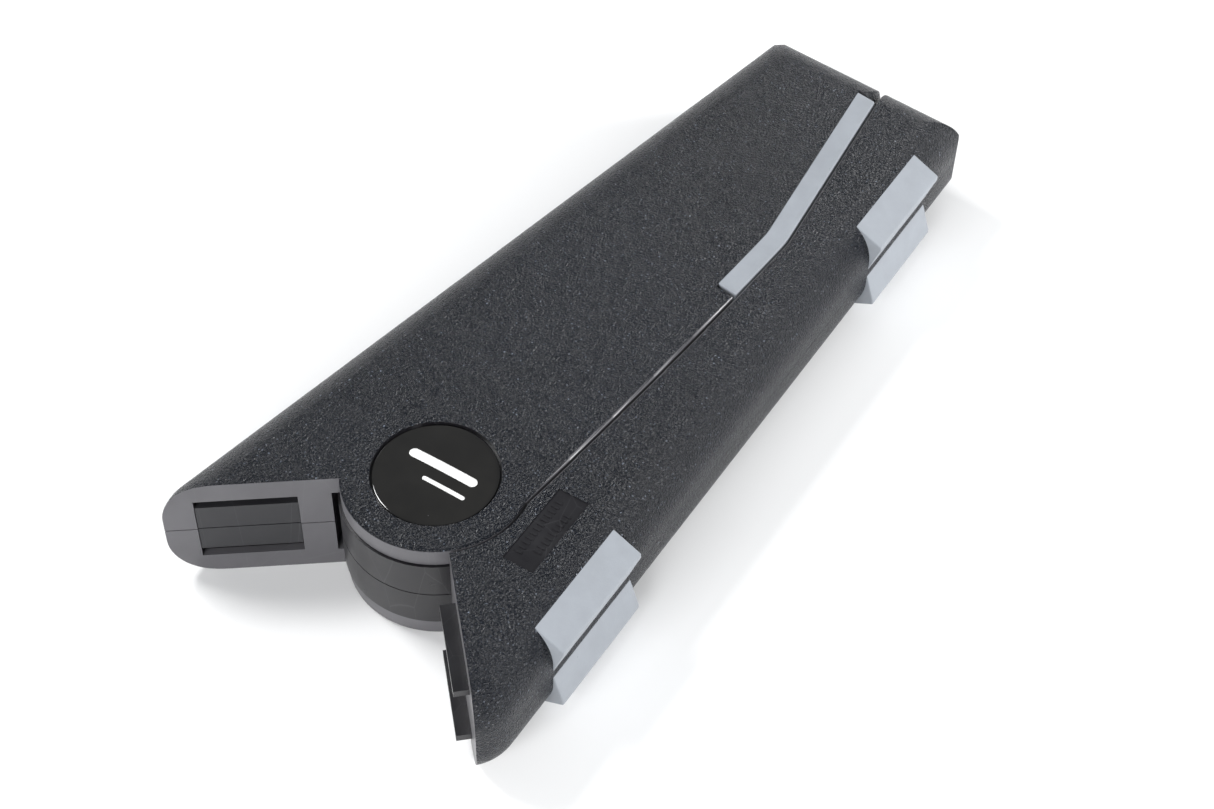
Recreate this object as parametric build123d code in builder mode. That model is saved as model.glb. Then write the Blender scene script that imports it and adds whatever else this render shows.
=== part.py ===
from build123d import *
import os
import math

os.makedirs("parts", exist_ok=True)

# Folding A-frame instrument stand, folded flat.
# Two mirrored frames lie on each other about the mid-plane z = H. Each frame is
# an upright arm and a base arm that turns about the hub axis (x = y = 0). The two
# uprights are joined by a butt hinge in their far end. Origin: hub axis on the
# underside. +Y runs from the hub to the far end, +Z is up. Millimetres.

# ---------------------------------------------------------------- overall
T = 43.0                 # thickness of the folded stand
H = T / 2                # mid-plane between the two frames
SEAM = 0.2               # half of the gap between the two frames
Z0 = H + SEAM            # inner face of the upper frame
WALL = 2.6               # shell wall
COVER_T = 2.0            # inner cover plate
COVER_FIT = 0.15         # gap round the cover plate
COVER_TOP = Z0 + COVER_T

# ---------------------------------------------------------------- hub stack
BOSS_U_R = 29.8          # upright boss, outer layer
BOSS_B_R = 30.6          # base boss, inner layer
POCKET_R = 32.5          # pocket in the upright round the base boss
RECESS_R = 30.9          # recess in the base round the upright boss
Z_BOSS_U = 36.0          # underside of the upright boss
Z_BOSS_B = 35.7          # top of the base boss
BADGE_SEAT_R = 20.5      # badge recess
BADGE_R = 19.85          # badge
BADGE_SEAT_Z = 41.5      # floor of the badge recess
HEAD_SEAT_R = 10.5       # counterbore for washer, spring and bolt head
HEAD_SEAT_Z = 38.0
SHOULDER_R = 4.0         # shoulder of the pivot bolt
SHOULDER_FIT = 0.05      # running clearance of the shoulder in the upright
THREAD_R = 3.0
NUT_AF = 10.0            # nut across flats
NUT_Z0, NUT_Z1 = 22.2, 27.2

# ---------------------------------------------------------------- arms in plan
A_END_U = 217.5          # direction of the upright end face, degrees
A_END_B = -47.5          # direction of the base end face, degrees
A_OUT_U = 79.92          # direction of the upright outer edge
OUT_U = 60.1             # its distance from the hub axis
OUT_B = 63.0             # base outer edge, x
FACE_GAP = 0.1           # each end face stands back from the radial plane
A_FAR = -4.7             # direction of the far end
FAR_X, FAR_Y = 2.4, 243.0
ROUND_U = (14.5, 16.5)   # elliptic rounding of the upright outer edge, width and height
ROUND_B = (13.5, 16.5)   # elliptic rounding of the base outer edge
TIP_R = 85.4             # both end faces end at this radius
HEEL_R = 17.0            # heel between outer edge and end face, in plan
ROUND_FAR = (17.0, 19.0) # rounding of the far end
ROUND_IN = (7.4, 9.0)    # rounding of the upright's inner far corner, from the strip's end on
R_FAR_OUT = 5.0          # outer far corners in plan
CORNER_CUT = 1.7         # softening of the mitre at the upright's outer far corner
R_FAR_IN_U = 14.0        # inner far corners in plan
R_FAR_IN_B = 7.0
ARM_GAP = 0.85           # gap between the two arms
BEND_R = 40.0

# ---------------------------------------------------------------- tongue joint
SLOT_R0, SLOT_R1 = 43.0, 75.2
SLOT_Z0, SLOT_Z1 = 31.75, 35.15
TAB_R0, TAB_R1 = 43.5, 74.5
TAB_Z0, TAB_Z1 = 32.1, 34.8
TAB_OUT = 4.7

# ---------------------------------------------------------------- soft pieces
STRIP_W = 7.4            # lean strip, width on the face
STRIP_T = 2.2
STRIP_Z = 31.0           # its flange ends here on the edge
STRIP_A = (38.9, 114.0)  # near and far end on the inner edge
STRIP_B = (32.7, 225.9)
STRIP_END_A = -9.3       # direction of its square ends
FOOT_TOP = (53.5, 42.10) # foot section, x and z
FOOT_TIP = (66.6, 35.6)
FOOT_LOW = (66.6, 34.0)
FOOT_TILT = 18.5         # slope of the sole, half of the spread
FOOT_SINK = 1.0
FOOT_NEAR = (-30.0, 13.4)
FOOT_REAR = (167.5, 210.3)
PAD_T = 2.2              # rest pad on the base inner edge
PAD_Y = (52.0, 128.0)
PAD_Z = (27.0, 38.5)

# ---------------------------------------------------------------- frame hinge
HINGE_X, HINGE_E = 6.0, 3.0   # middle of the hinge, and its depth from the far end
HINGE_W = 17.0                # pocket width
POCKET_E = 5.75               # pocket depth
POCKET_Z = 36.2               # pocket reaches this high
LEAF_W = 16.4
LEAF_T = 1.2
LEAF_Z = 35.6
KNUCKLE_R = 2.55
PIN_R = 1.5
PIN_FIT = 0.04
KNUCKLE_W = 5.4               # middle knuckle
RELIEF_A = 21.0               # slope of the seam beyond the hinge axis
SCREWS_H = [(-4.6, 6.0), (4.6, 6.0), (0, 10.8)]   # leaf screws, across and above the axis

# ---------------------------------------------------------------- label and screws
LABEL = (35.1, 46.0, -15.2, 15.7)
LABEL_D = 0.35
SCREW_R = 1.3
SCREW_HEAD_R = 2.6
SCREW_L = 9.5
SCREW_POST_R = 3.3
SCREWS_U = [(-47.0, -14.0), (-22.0, 44.0), (25.0, 60.0), (-24.0, 130.0), (23.0, 132.0), (-8.0, 206.0), (16.0, 204.0)]
SCREWS_B = [(50.0, -29.0), (44.5, 26.0), (48.5, 72.0), (51.0, 120.0), (50.5, 172.0), (47.5, 216.0), (-18.0, 7.0), (3.0, -19.0)]


def polar(r, a, off=0.0):
    """Point at radius r on the direction a, moved off to its left."""
    c, s = math.cos(math.radians(a)), math.sin(math.radians(a))
    return (r * c - off * s, r * s + off * c)


def cross_point(p, a, q, b):
    """Where the line through p in direction a meets the line through q in direction b."""
    ca, sa = math.cos(math.radians(a)), math.sin(math.radians(a))
    cb, sb = math.cos(math.radians(b)), math.sin(math.radians(b))
    k = ((q[0] - p[0]) * sb - (q[1] - p[1]) * cb) / (ca * sb - sa * cb)
    return (p[0] + k * ca, p[1] + k * sa)


FAR_P = (FAR_X, FAR_Y)
EDGE = [(29.2, 6.0), (35.85, 74.5), (40.95, 146.0)]   # upright inner edge up to its bend
A_EDGE_FAR = 95.8                                     # its direction beyond the bend
OUT_P = (-OUT_U * math.sin(math.radians(A_OUT_U)), OUT_U * math.cos(math.radians(A_OUT_U)))


def heel(a_end, off, a_out, dist):
    """Heel arc: its centre, its start on the outer edge, a middle point and its end on the end face."""
    ox, oy = math.cos(math.radians(a_out)), math.sin(math.radians(a_out))
    ex, ey = math.cos(math.radians(A_EDGE_DIR[a_out])), math.sin(math.radians(A_EDGE_DIR[a_out]))
    px, py = polar(TIP_R, a_end, off)
    across = dist - HEEL_R - (px * ox + py * oy)
    along = px * ex + py * ey + math.sqrt(HEEL_R**2 - across**2)
    cx, cy = ox * (dist - HEEL_R) + ex * along, oy * (dist - HEEL_R) + ey * along
    sx, sy = cx + ox * HEEL_R, cy + oy * HEEL_R
    mx, my = (sx + px) / 2 - cx, (sy + py) / 2 - cy
    k = HEEL_R / math.hypot(mx, my)
    return (cx, cy), (sx, sy), (cx + mx * k, cy + my * k), (px, py)


A_EDGE_DIR = {A_OUT_U + 90: A_OUT_U, 0.0: 90.0}   # direction of each outer edge, towards the far end
U_HEEL = heel(A_END_U, -FACE_GAP, A_OUT_U + 90, OUT_U)
B_HEEL = heel(A_END_B, FACE_GAP, 0.0, OUT_B)
U_FAR_L = cross_point(OUT_P, A_OUT_U, FAR_P, A_FAR)
U_FAR_R = cross_point(EDGE[2], A_EDGE_FAR, FAR_P, A_FAR)
B_FAR_R = cross_point((OUT_B, 0), 90, FAR_P, A_FAR)
B_EDGE = [(x + ARM_GAP, y) for x, y in EDGE]
B_FAR_L = cross_point(B_EDGE[2], A_EDGE_FAR, FAR_P, A_FAR)

# local frame of the far end: x along it, y out of it, z up
_c, _s = math.cos(math.radians(A_FAR)), math.sin(math.radians(A_FAR))


def far_point(u, e):
    """Plan point u along the far end from the hinge middle, e inside it."""
    x0 = HINGE_X
    y0 = FAR_Y + (HINGE_X - FAR_X) * math.tan(math.radians(A_FAR))
    return (x0 + u * _c + e * _s, y0 + u * _s - e * _c)


def far_plane(e, z):
    """Plane facing out of the far end, x along it, y up."""
    p = far_point(0, e)
    return Plane(origin=(p[0], p[1], z), x_dir=(-_c, -_s, 0), z_dir=(-_s, _c, 0))


def far_axis(u):
    """Plane across the hinge axis at u, its normal along the axis, x out of the far end, y up."""
    p = far_point(u, HINGE_E)
    return Plane(origin=(p[0], p[1], H), x_dir=(-_s, _c, 0), z_dir=(_c, _s, 0))


def edge_plane(out_dir, dist):
    """Plane across an outer edge: x outwards, y up, origin at the mid-plane under the edge."""
    a = math.radians(out_dir)
    o = (math.cos(a), math.sin(a), 0)
    return Plane(origin=(o[0] * dist, o[1] * dist, 0), x_dir=o, z_dir=(o[1], -o[0], 0))


PLANE_OUT_U = edge_plane(A_OUT_U + 90, 0)
PLANE_OUT_B = edge_plane(0, 0)
_fd = -FAR_X * _s + FAR_Y * _c
PLANE_FAR = edge_plane(A_FAR + 90, 0)
BIG = 420.0


def round_profile(dist, size, inset, top):
    """Half section of a rounded edge at distance dist, top at z = top, inset all round."""
    a, b = size
    with BuildSketch() as sk:
        with BuildLine():
            Polyline(
                (dist - a, top - inset),
                (dist - BIG, top - inset),
                (dist - BIG, -10),
                (dist - inset, -10),
                (dist - inset, top - b),
            )
            EllipticalCenterArc((dist - a, top - b), a - inset, b - inset, 0, arc_size=90)
        make_face()
    return sk.sketch


def edge_waste(size, inset, reach, r):
    """Section of the waste outside a rounded edge; x from a centre that lies r inside the edge."""
    a, b = size
    with BuildSketch() as sk:
        with BuildLine():
            EllipticalCenterArc((r - a, T - b), a - inset, b - inset, 0, arc_size=90)
            Polyline(
                (r - a, T - inset),
                (r - a, T + 3),
                (r + reach, T + 3),
                (r + reach, T - b),
                (r - inset, T - b),
            )
        make_face()
    return sk.sketch


def outer_waste(a_out, heel_points, size, turn, inset=0.0):
    """Waste outside the rounded outer edge and outside the heel that carries it round to the end face."""
    (cx, cy), (sx, sy) = heel_points[0], heel_points[1]
    o = (math.cos(math.radians(a_out)), math.sin(math.radians(a_out)), 0)
    along = A_EDGE_DIR[a_out]
    e = (math.cos(math.radians(along)), math.sin(math.radians(along)), 0)
    plane = Plane(origin=(cx, cy, 0), x_dir=o, z_dir=(o[1], -o[0], 0))
    forward = o[1] * e[0] - o[0] * e[1] > 0
    with BuildPart() as waste:
        with BuildSketch(plane):
            add(edge_waste(size, inset, 12, HEEL_R))
        extrude(amount=BIG if forward else -BIG)
        with BuildSketch(plane):
            add(edge_waste(size, inset, 12, HEEL_R))
        revolve(axis=Axis((cx, cy, 0), (0, 0, 1)), revolution_arc=turn)
    return waste.part


def inner_corner_waste(inset=0.0):
    """Waste outside the rounding that runs from the strip's far end round the upright's inner far corner."""
    a1, a2 = A_EDGE_FAR - 90, A_FAR + 90
    n1 = (math.cos(math.radians(a1)), math.sin(math.radians(a1)))
    n2 = (math.cos(math.radians(a2)), math.sin(math.radians(a2)))
    d1 = n1[0] * EDGE[2][0] + n1[1] * EDGE[2][1] - R_FAR_IN_U
    d2 = n2[0] * FAR_P[0] + n2[1] * FAR_P[1] - R_FAR_IN_U
    k = n1[0] * n2[1] - n1[1] * n2[0]
    cx, cy = (d1 * n2[1] - d2 * n1[1]) / k, (n1[0] * d2 - n2[0] * d1) / k
    run = (cx - STRIP_B[0]) * -n1[1] + (cy - STRIP_B[1]) * n1[0]
    plane = Plane(origin=(cx, cy, 0), x_dir=(n1[0], n1[1], 0), z_dir=(n1[1], -n1[0], 0))
    with BuildPart() as waste:
        with BuildSketch(plane):
            add(edge_waste(ROUND_IN, inset, 6, R_FAR_IN_U))
        extrude(amount=run)
        with BuildSketch(plane):
            add(edge_waste(ROUND_IN, inset, 6, R_FAR_IN_U))
        revolve(axis=Axis((cx, cy, 0), (0, 0, 1)), revolution_arc=a2 - a1)
    return waste.part


# the softened mitre at the upright's outer far corner faces half way between the two edges
A_MITRE = (A_OUT_U + 90 + A_FAR + 90) / 2
_half = math.radians((A_OUT_U - A_FAR) / 2)
MITRE_D = U_FAR_L[0] * math.cos(math.radians(A_MITRE)) + U_FAR_L[1] * math.sin(math.radians(A_MITRE)) - CORNER_CUT
ROUND_MITRE = ((ROUND_U[0] + ROUND_FAR[0]) / 2 / math.cos(_half), (ROUND_U[1] + ROUND_FAR[1]) / 2)
PLANE_MITRE = edge_plane(A_MITRE, 0)


def plan_upright(inset=0.0):
    """Plan of the upright arm, without its boss."""
    with BuildSketch() as sk:
        with BuildLine():
            Polyline(EDGE[2], U_FAR_R, U_FAR_L, U_HEEL[1])
            ThreePointArc(U_HEEL[1], U_HEEL[2], U_HEEL[3])
            Polyline(U_HEEL[3], polar(0, A_END_U, -FACE_GAP), (20.0, 0.0), EDGE[0])
            ThreePointArc(*EDGE)
        make_face()
        vs = sk.vertices()
        fillet([v for v in vs if (Vector(v.X, v.Y, 0) - Vector(*EDGE[2])).length < 0.01], BEND_R)
        fillet([v for v in sk.vertices() if (Vector(v.X, v.Y, 0) - Vector(*U_FAR_L)).length < 0.01], R_FAR_OUT)
        fillet([v for v in sk.vertices() if (Vector(v.X, v.Y, 0) - Vector(*U_FAR_R)).length < 0.01], R_FAR_IN_U)
        if inset:
            offset(amount=-inset, kind=Kind.INTERSECTION)
    return sk.sketch


def plan_base(inset=0.0):
    """Plan of the base arm, without its boss."""
    with BuildSketch() as sk:
        with BuildLine():
            Polyline(B_EDGE[0], (20.0, 0.0), polar(0, A_END_B, FACE_GAP), B_HEEL[3])
            ThreePointArc(B_HEEL[3], B_HEEL[2], B_HEEL[1])
            Polyline(B_HEEL[1], B_FAR_R, B_FAR_L, B_EDGE[2])
            ThreePointArc(B_EDGE[2], B_EDGE[1], B_EDGE[0])
        make_face()
        fillet([v for v in sk.vertices() if (Vector(v.X, v.Y, 0) - Vector(*B_EDGE[2])).length < 0.01], BEND_R)
        fillet([v for v in sk.vertices() if (Vector(v.X, v.Y, 0) - Vector(*B_FAR_L)).length < 0.01], R_FAR_IN_B)
        fillet([v for v in sk.vertices() if (Vector(v.X, v.Y, 0) - Vector(*B_FAR_R)).length < 0.01], R_FAR_OUT)
        if inset:
            offset(amount=-inset, kind=Kind.INTERSECTION)
    return sk.sketch


def edge_band(base=False):
    """Plan region on the upright's side of the gap between the arms."""
    shift = ARM_GAP if base else 0.0
    with BuildSketch() as sk:
        with BuildLine():
            Polyline(
                (EDGE[2][0] + shift, EDGE[2][1]),
                (U_FAR_R[0] + shift, U_FAR_R[1]),
                (U_FAR_R[0] - 60, U_FAR_R[1]),
                (-60, EDGE[0][1]),
                (EDGE[0][0] + shift, EDGE[0][1]),
            )
            ThreePointArc(*[(x + shift, y) for x, y in EDGE])
        make_face()
        fillet([v for v in sk.vertices() if (Vector(v.X, v.Y, 0) - Vector(EDGE[2][0] + shift, EDGE[2][1])).length < 0.01], BEND_R)
    return sk.sketch


# ================================================================ upright, upper frame
plan_u = plan_upright()
plan_u_in = plan_upright(WALL)

# strip footprint: between its two square ends, within STRIP_W of the inner edge
with BuildSketch() as strip_plan_sk:
    add(edge_band())
    with BuildSketch(mode=Mode.PRIVATE) as inner_edge:
        add(edge_band())
        offset(amount=-STRIP_W, kind=Kind.INTERSECTION)
    add(inner_edge.sketch, mode=Mode.SUBTRACT)
    with BuildSketch(mode=Mode.PRIVATE) as ends:
        with BuildLine():
            Polyline(
                (STRIP_A[0] + 15 * math.cos(math.radians(STRIP_END_A)), STRIP_A[1] + 15 * math.sin(math.radians(STRIP_END_A))),
                (STRIP_B[0] + 15 * math.cos(math.radians(STRIP_END_A)), STRIP_B[1] + 15 * math.sin(math.radians(STRIP_END_A))),
                (STRIP_B[0] - 15 * math.cos(math.radians(STRIP_END_A)), STRIP_B[1] - 15 * math.sin(math.radians(STRIP_END_A))),
                (STRIP_A[0] - 15 * math.cos(math.radians(STRIP_END_A)), STRIP_A[1] - 15 * math.sin(math.radians(STRIP_END_A))),
                close=True,
            )
        make_face()
    add(ends.sketch, mode=Mode.INTERSECT)
strip_plan = strip_plan_sk.sketch

with BuildSketch() as flange_plan_sk:
    add(strip_plan)
    with BuildSketch(mode=Mode.PRIVATE) as inner_edge2:
        add(edge_band())
        offset(amount=-STRIP_T, kind=Kind.INTERSECTION)
    add(inner_edge2.sketch, mode=Mode.SUBTRACT)
flange_plan = flange_plan_sk.sketch

# lean strip: flat top band and a flange down the inner edge
with BuildPart() as lean_strip_upper:
    with BuildSketch(Plane.XY.offset(T - STRIP_T)):
        add(strip_plan)
    extrude(amount=STRIP_T)
    with BuildSketch(Plane.XY.offset(STRIP_Z)):
        add(flange_plan)
    extrude(amount=T - STRIP_T - STRIP_Z)

def on_inner_edge(e, shift):
    """True for a top edge that lies along the inner edge of an arm."""
    m = e @ 0.5
    return (
        e.bounding_box().min.Z > T - 0.01
        and EDGE[0][1] - 1 < m.Y < U_FAR_R[1] - 4
        and shift + 26 < m.X < shift + 43
    )


# outer form of the upright shell: arm and boss
with BuildPart() as boss_u:
    with BuildSketch(Plane.XY.offset(Z_BOSS_U)):
        Circle(BOSS_U_R)
    extrude(amount=T - Z_BOSS_U)
    fillet(boss_u.edges().group_by(Axis.Z)[-1], 1.0)

with BuildPart() as upright_form:
    with BuildSketch(Plane.XY.offset(Z0)):
        add(plan_u)
    extrude(amount=T - Z0)
    fillet([e for e in upright_form.edges() if on_inner_edge(e, 0)], 0.7)
    add(outer_waste(A_OUT_U + 90, U_HEEL, ROUND_U, 75), mode=Mode.SUBTRACT)
    with BuildSketch(PLANE_FAR):
        add(round_profile(_fd, ROUND_FAR, 0, T))
    extrude(amount=BIG, both=True, mode=Mode.INTERSECT)
    with BuildSketch(PLANE_MITRE):
        add(round_profile(MITRE_D, ROUND_MITRE, 0, T))
    extrude(amount=BIG, both=True, mode=Mode.INTERSECT)
    add(inner_corner_waste(), mode=Mode.SUBTRACT)
    # pocket that the base boss turns in
    with BuildSketch(Plane.XY.offset(Z0 - 1)):
        Circle(POCKET_R)
    extrude(amount=Z_BOSS_U - Z0 + 1, mode=Mode.SUBTRACT)
    add(boss_u.part)

# hollow of the upright shell
with BuildPart() as upright_hollow:
    with BuildSketch(Plane.XY.offset(Z0 - 1)):
        add(plan_u_in)
    extrude(amount=T - WALL - Z0 + 1)
    add(outer_waste(A_OUT_U + 90, U_HEEL, ROUND_U, 75, WALL), mode=Mode.SUBTRACT)
    with BuildSketch(PLANE_FAR):
        add(round_profile(_fd, ROUND_FAR, WALL, T))
    extrude(amount=BIG, both=True, mode=Mode.INTERSECT)
    with BuildSketch(PLANE_MITRE):
        add(round_profile(MITRE_D, ROUND_MITRE, WALL, T))
    extrude(amount=BIG, both=True, mode=Mode.INTERSECT)
    add(inner_corner_waste(WALL), mode=Mode.SUBTRACT)
    with BuildSketch(Plane.XY.offset(Z0 - 2)):
        Circle(POCKET_R + WALL)
    extrude(amount=T, mode=Mode.SUBTRACT)
    # backing of the lean strip
    with BuildSketch(Plane.XY.offset(T - STRIP_T - 2.2)):
        with BuildLine():
            Polyline((25.5, 110.0), (60.0, 110.0), (60.0, 232.0), (18.5, 232.0), (26.0, 200.0), (31.0, 150.0), close=True)
        make_face()
    extrude(amount=20, mode=Mode.SUBTRACT)
    with BuildSketch(Plane.XY.offset(STRIP_Z - 2.2)):
        with BuildLine():
            Polyline((34.2, 110.0), (60.0, 110.0), (60.0, 232.0), (27.4, 232.0), (36.0, 147.0), close=True)
        make_face()
    extrude(amount=20, mode=Mode.SUBTRACT)
    # block behind the hinge pocket
    with BuildSketch(far_plane(0, H)):
        with Locations((0, 12)):
            Rectangle(HINGE_W + 6, 26)
    extrude(amount=-(POCKET_E + 8.0), mode=Mode.SUBTRACT)
    # screw posts
    with BuildSketch(Plane.XY.offset(COVER_TOP)):
        with Locations(*SCREWS_U):
            Circle(SCREW_POST_R)
    extrude(amount=T, mode=Mode.SUBTRACT)
    # stiffening ribs, held clear of the cover
    with BuildSketch(Plane.XY.offset(COVER_TOP + 0.4)):
        with Locations((-5, 66, ), (-3, 108), (0, 158), (4, 186)):
            Rectangle(110, 1.6)
        with Locations(Location((-9.0, 128.0), -9.0)):
            Rectangle(1.6, 150)
    extrude(amount=T, mode=Mode.SUBTRACT)

with BuildPart() as upright_shell_upper:
    add(upright_form.part)
    add(upright_hollow.part, mode=Mode.SUBTRACT)
    # opening for the tongue in the end wall, open to the seam
    with BuildSketch(Plane.XY.offset(Z0 - 1)):
        with BuildLine():
            Polyline(
                polar(SLOT_R0, A_END_U, 1.0),
                polar(SLOT_R1, A_END_U, 1.0),
                polar(SLOT_R1, A_END_U, -WALL - 0.9),
                polar(SLOT_R0, A_END_U, -WALL - 0.9),
                close=True,
            )
        make_face()
    extrude(amount=SLOT_Z1 - Z0 + 1, mode=Mode.SUBTRACT)
    # seat of the lean strip
    add(lean_strip_upper.part, mode=Mode.SUBTRACT)
    # badge seat, bolt head seat and pivot bore
    with BuildSketch(Plane.XY.offset(BADGE_SEAT_Z)):
        Circle(BADGE_SEAT_R)
    extrude(amount=5, mode=Mode.SUBTRACT)
    with BuildSketch(Plane.XY.offset(HEAD_SEAT_Z)):
        Circle(HEAD_SEAT_R)
    extrude(amount=5, mode=Mode.SUBTRACT)
    with BuildSketch(Plane.XY.offset(Z_BOSS_U - 1)):
        Circle(SHOULDER_R + SHOULDER_FIT)
    extrude(amount=8, mode=Mode.SUBTRACT)
    # moulding relief under the boss
    with BuildSketch(Plane.XY.offset(Z_BOSS_U - 1)):
        Circle(26.5)
        Circle(16.5, mode=Mode.SUBTRACT)
    extrude(amount=3.4, mode=Mode.SUBTRACT)
    # hinge pocket in the far end
    with BuildSketch(far_plane(POCKET_E, Z0 - 1)):
        with Locations((0, (POCKET_Z - Z0 + 1) / 2)):
            Rectangle(HINGE_W, POCKET_Z - Z0 + 1)
    extrude(amount=20, mode=Mode.SUBTRACT)
    # pilot holes for the hinge screws
    with BuildSketch(far_plane(POCKET_E + 6.5, H)):
        with Locations(*SCREWS_H):
            Circle(1.1)
    extrude(amount=8, mode=Mode.SUBTRACT)
    # seam relieved beyond the hinge axis
    with BuildSketch(far_axis(-60)):
        with BuildLine():
            Polyline((0, -1), (0, 0), (12, 12 * math.tan(math.radians(RELIEF_A))), (12, -1), close=True)
        make_face()
    extrude(amount=140, mode=Mode.SUBTRACT)
    # pilot holes for the cover screws
    with BuildSketch(Plane.XY.offset(Z0)):
        with Locations(*SCREWS_U):
            Circle(SCREW_R)
    extrude(amount=SCREW_L, mode=Mode.SUBTRACT)

print("upright shell", upright_shell_upper.part.volume, len(upright_shell_upper.solids()))

# inner cover of the upright, with the tongue wall that closes the lower part of the opening
with BuildPart() as upright_cover_upper:
    with BuildSketch(Plane.XY.offset(Z0)):
        add(plan_upright(WALL + COVER_FIT))
        Circle(POCKET_R + WALL + COVER_FIT, mode=Mode.SUBTRACT)
    extrude(amount=COVER_T)
    with BuildSketch(Plane.XY.offset(Z0)):
        with BuildLine():
            Polyline(
                polar(SLOT_R0 + COVER_FIT, A_END_U, -FACE_GAP - 0.35),
                polar(SLOT_R1 - COVER_FIT, A_END_U, -FACE_GAP - 0.35),
                polar(SLOT_R1 - COVER_FIT, A_END_U, -FACE_GAP - WALL - 0.6),
                polar(SLOT_R0 + COVER_FIT, A_END_U, -FACE_GAP - WALL - 0.6),
                close=True,
            )
        make_face()
    extrude(amount=SLOT_Z0 - Z0)
    # clearance for the hinge block
    with BuildSketch(far_plane(0, H)):
        Rectangle(HINGE_W + 6 + 2 * COVER_FIT, 30)
    extrude(amount=-(POCKET_E + 8.0 + COVER_FIT), mode=Mode.SUBTRACT)
    with BuildSketch(far_axis(-60)):
        with BuildLine():
            Polyline((0, -1), (0, 0), (12, 12 * math.tan(math.radians(RELIEF_A))), (12, -1), close=True)
        make_face()
    extrude(amount=140, mode=Mode.SUBTRACT)
    with Locations(*[Location((x, y, Z0), (180, 0, 0)) for x, y in SCREWS_U]):
        CounterSinkHole(SCREW_R, SCREW_HEAD_R, depth=COVER_T + 1, counter_sink_angle=90)

print("upright cover", upright_cover_upper.part.volume, len(upright_cover_upper.solids()))


# ================================================================ screws
def cross_recess(r, d, z):
    """Cross recess cutter, opening at z and going up."""
    with BuildPart() as c:
        with BuildSketch(Plane.XY.offset(z - 0.5)):
            Rectangle(2 * r, r * 0.45)
            Rectangle(r * 0.45, 2 * r)
        extrude(amount=d + 0.5)
    return c.part


def cover_screws(points):
    """Countersunk screws that hold a cover, heads flush with the inner face."""
    with BuildPart() as one:
        with BuildSketch(Plane.XZ):
            with BuildLine():
                Polyline(
                    (0, Z0 + 0.1),
                    (SCREW_HEAD_R - 0.1, Z0 + 0.1),
                    (SCREW_R, Z0 + SCREW_HEAD_R - SCREW_R),
                    (SCREW_R, Z0 + SCREW_L - 0.8),
                    (0.4, Z0 + SCREW_L),
                    (0, Z0 + SCREW_L),
                    close=True,
                )
            make_face()
        revolve(axis=Axis.Z)
        add(cross_recess(1.5, 0.9, Z0 + 0.1), mode=Mode.SUBTRACT)
    with BuildPart() as group:
        with Locations(*points):
            add(one.part)
    return group.part


with BuildPart() as upright_cover_screws_upper:
    add(cover_screws(SCREWS_U))

with BuildPart() as base_cover_screws_upper:
    add(cover_screws(SCREWS_B))

# ================================================================ base, upper frame
arc_c = (OUT_B - ROUND_B[0], T - ROUND_B[1])    # centre of the base's outer rounding, x and z
foot_dir = math.atan2((FOOT_TOP[1] - arc_c[1]) / ROUND_B[1], (FOOT_TOP[0] - arc_c[0]) / ROUND_B[0])
foot_in = (
    arc_c[0] + (ROUND_B[0] - FOOT_SINK) * math.cos(foot_dir),
    arc_c[1] + (ROUND_B[1] - FOOT_SINK) * math.sin(foot_dir),
)
foot_z0 = Z0 + 0.1
sole_x = FOOT_LOW[0] - (FOOT_LOW[1] - foot_z0) * math.tan(math.radians(FOOT_TILT))


def foot(y0, y1):
    """Rubber foot: wedge over the rounded edge with a slanted sole, and a key through the wall."""
    with BuildPart() as f:
        with BuildSketch(Plane(origin=(0, y0, 0), x_dir=(1, 0, 0), z_dir=(0, -1, 0))):
            with BuildLine():
                Polyline(
                    (OUT_B - FOOT_SINK, arc_c[1]),
                    (OUT_B - FOOT_SINK, foot_z0),
                    (sole_x, foot_z0),
                    FOOT_LOW,
                    FOOT_TIP,
                    FOOT_TOP,
                    foot_in,
                )
                EllipticalCenterArc(arc_c, ROUND_B[0] - FOOT_SINK, ROUND_B[1] - FOOT_SINK, 0, arc_size=math.degrees(foot_dir))
            make_face()
        extrude(amount=-(y1 - y0))
        with BuildSketch(Plane.YZ.offset(OUT_B - FOOT_SINK + 0.2)):
            with Locations(((y0 + y1) / 2, 28.0)):
                Rectangle(20, 3)
        extrude(amount=-3.8)
    return f.part


with BuildPart() as front_foot_upper:
    add(foot(*FOOT_NEAR))

with BuildPart() as rear_foot_upper:
    add(foot(*FOOT_REAR))

with BuildSketch() as pad_plan_sk:
    with BuildSketch(mode=Mode.PRIVATE) as grown:
        add(edge_band(base=True))
        offset(amount=PAD_T, kind=Kind.INTERSECTION)
    add(grown.sketch)
    add(edge_band(base=True), mode=Mode.SUBTRACT)
    with BuildSketch(mode=Mode.PRIVATE) as pad_range:
        with Locations((40, (PAD_Y[0] + PAD_Y[1]) / 2)):
            Rectangle(30, PAD_Y[1] - PAD_Y[0])
    add(pad_range.sketch, mode=Mode.INTERSECT)

# soft pad let into the inner edge, where the instrument stands when the base is folded out
with BuildPart() as base_rest_pad_upper:
    with BuildSketch(Plane.XY.offset(PAD_Z[0])):
        add(pad_plan_sk.sketch)
    extrude(amount=PAD_Z[1] - PAD_Z[0])

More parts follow.
